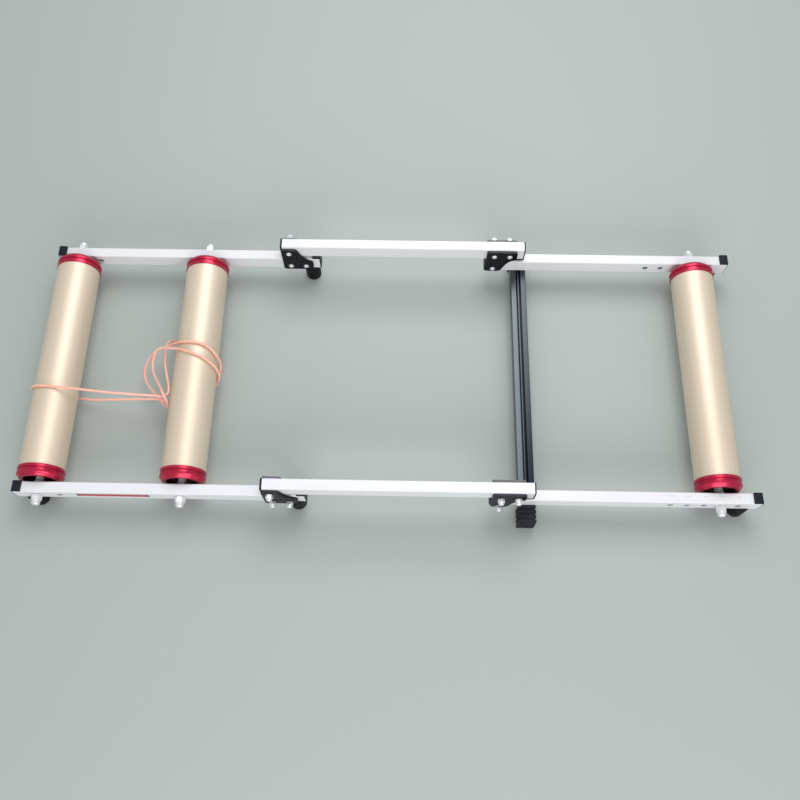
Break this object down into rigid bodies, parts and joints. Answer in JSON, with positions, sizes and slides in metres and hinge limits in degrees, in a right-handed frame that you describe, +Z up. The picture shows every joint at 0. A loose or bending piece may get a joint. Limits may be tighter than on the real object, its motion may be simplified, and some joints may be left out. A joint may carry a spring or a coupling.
{
  "type": "bike rollers",
  "caption": "Folding bicycle training rollers: drums with red end caps in a hinged white tube frame on rubber feet, with a slotted crossbar and the round drive belt stowed.",
  "frame": {"origin": "on the floor under the middle of the unfolded frame", "axes": "+X from the rear pair of drums to the front drum, +Y to the rollers' left side, +Z up"},
  "size_m": [1.3379, 0.5726, 0.1145],
  "materials": {
    "white_paint": "gloss white powder coat on steel tube",
    "black_paint": "satin black paint on steel plate",
    "black_plastic": "satin black moulded plastic",
    "rubber": "matt black rubber",
    "zinc": "bright zinc plate",
    "axle_steel": "plain turned steel",
    "bearing_steel": "polished bearing steel",
    "drum_finish": "satin champagne anodised tube",
    "red_anodised": "deep red anodised, turned",
    "black_aluminium": "black anodised extrusion",
    "belt_urethane": "translucent orange-red urethane round belt"
  },
  "bodies": {
    "rear_frame": {"rear_rail_left": "white_paint", "rear_rail_right": "white_paint", "rear_rail_rear_plug_left": "black_plastic", "rear_rail_front_plug_left": "black_plastic", "rear_rail_rear_plug_right": "black_plastic", "rear_rail_front_plug_right": "black_plastic", "rear_hinge_plate_left_inner": "black_paint", "rear_hinge_plate_left_outer": "black_paint", "rear_hinge_plate_right_inner": "black_paint", "rear_hinge_plate_right_outer": "black_paint", "rear_pivot_pin_left": "zinc", "rear_pivot_pin_right": "zinc", "rear_foot_left": "rubber", "rear_foot_right": "rubber", "hinge_foot_left": "rubber", "hinge_foot_right": "rubber", "rear_drum_axle": "axle_steel", "centre_drum_axle": "axle_steel", "drive_belt": "belt_urethane"},
    "middle_frame": {"middle_rail_left": "white_paint", "middle_rail_right": "white_paint", "middle_rail_rear_plug_left": "black_plastic", "middle_rail_front_plug_left": "black_plastic", "middle_rail_rear_plug_right": "black_plastic", "middle_rail_front_plug_right": "black_plastic", "front_hinge_plate_left_inner": "black_paint", "front_hinge_plate_left_outer": "black_paint", "front_hinge_plate_right_inner": "black_paint", "front_hinge_plate_right_outer": "black_paint", "front_pivot_pin_left": "zinc", "front_pivot_pin_right": "zinc"},
    "front_frame": {"front_rail_left": "white_paint", "front_rail_right": "white_paint", "front_rail_rear_plug_left": "black_plastic", "front_rail_front_plug_left": "black_plastic", "front_rail_rear_plug_right": "black_plastic", "front_rail_front_plug_right": "black_plastic", "front_foot_left": "rubber", "front_foot_right": "rubber", "crossbar": "black_aluminium", "crossbar_foot_left": "rubber", "crossbar_foot_right": "rubber", "crossbar_bolt_left": "zinc", "crossbar_bolt_right": "zinc", "front_drum_axle": "axle_steel"},
    "rear_drum": {"rear_drum_tube": "drum_finish", "rear_drum_cap_left": "red_anodised", "rear_drum_cap_right": "red_anodised", "rear_drum_bearing_left": "bearing_steel", "rear_drum_bearing_right": "bearing_steel"},
    "centre_drum": {"centre_drum_tube": "drum_finish", "centre_drum_cap_left": "red_anodised", "centre_drum_cap_right": "red_anodised", "centre_drum_bearing_left": "bearing_steel", "centre_drum_bearing_right": "bearing_steel"},
    "front_drum": {"front_drum_tube": "drum_finish", "front_drum_cap_left": "red_anodised", "front_drum_cap_right": "red_anodised", "front_drum_bearing_left": "bearing_steel", "front_drum_bearing_right": "bearing_steel"}
  },
  "joints": [
    {"name": "rear_fold", "type": "hinge", "parent": "rear_frame", "child": "middle_frame", "pos_m": [-0.2015, 0, 0.0985], "axis": [0, -1, 0], "range_deg": [0, 180]},
    {"name": "front_fold", "type": "hinge", "parent": "middle_frame", "child": "front_frame", "pos_m": [0.2015, 0, 0.056], "axis": [0, 1, 0], "range_deg": [-6, 166]},
    {"name": "rear_drum_spin", "type": "hinge", "parent": "rear_frame", "child": "rear_drum", "pos_m": [-0.626, 0, 0.056], "axis": [0, 1, 0], "continuous": true},
    {"name": "centre_drum_spin", "type": "hinge", "parent": "rear_frame", "child": "centre_drum", "pos_m": [-0.368, 0, 0.056], "axis": [0, 1, 0], "continuous": true},
    {"name": "front_drum_spin", "type": "hinge", "parent": "front_frame", "child": "front_drum", "pos_m": [0.596, 0, 0.056], "axis": [0, 1, 0], "continuous": true}
  ]
}
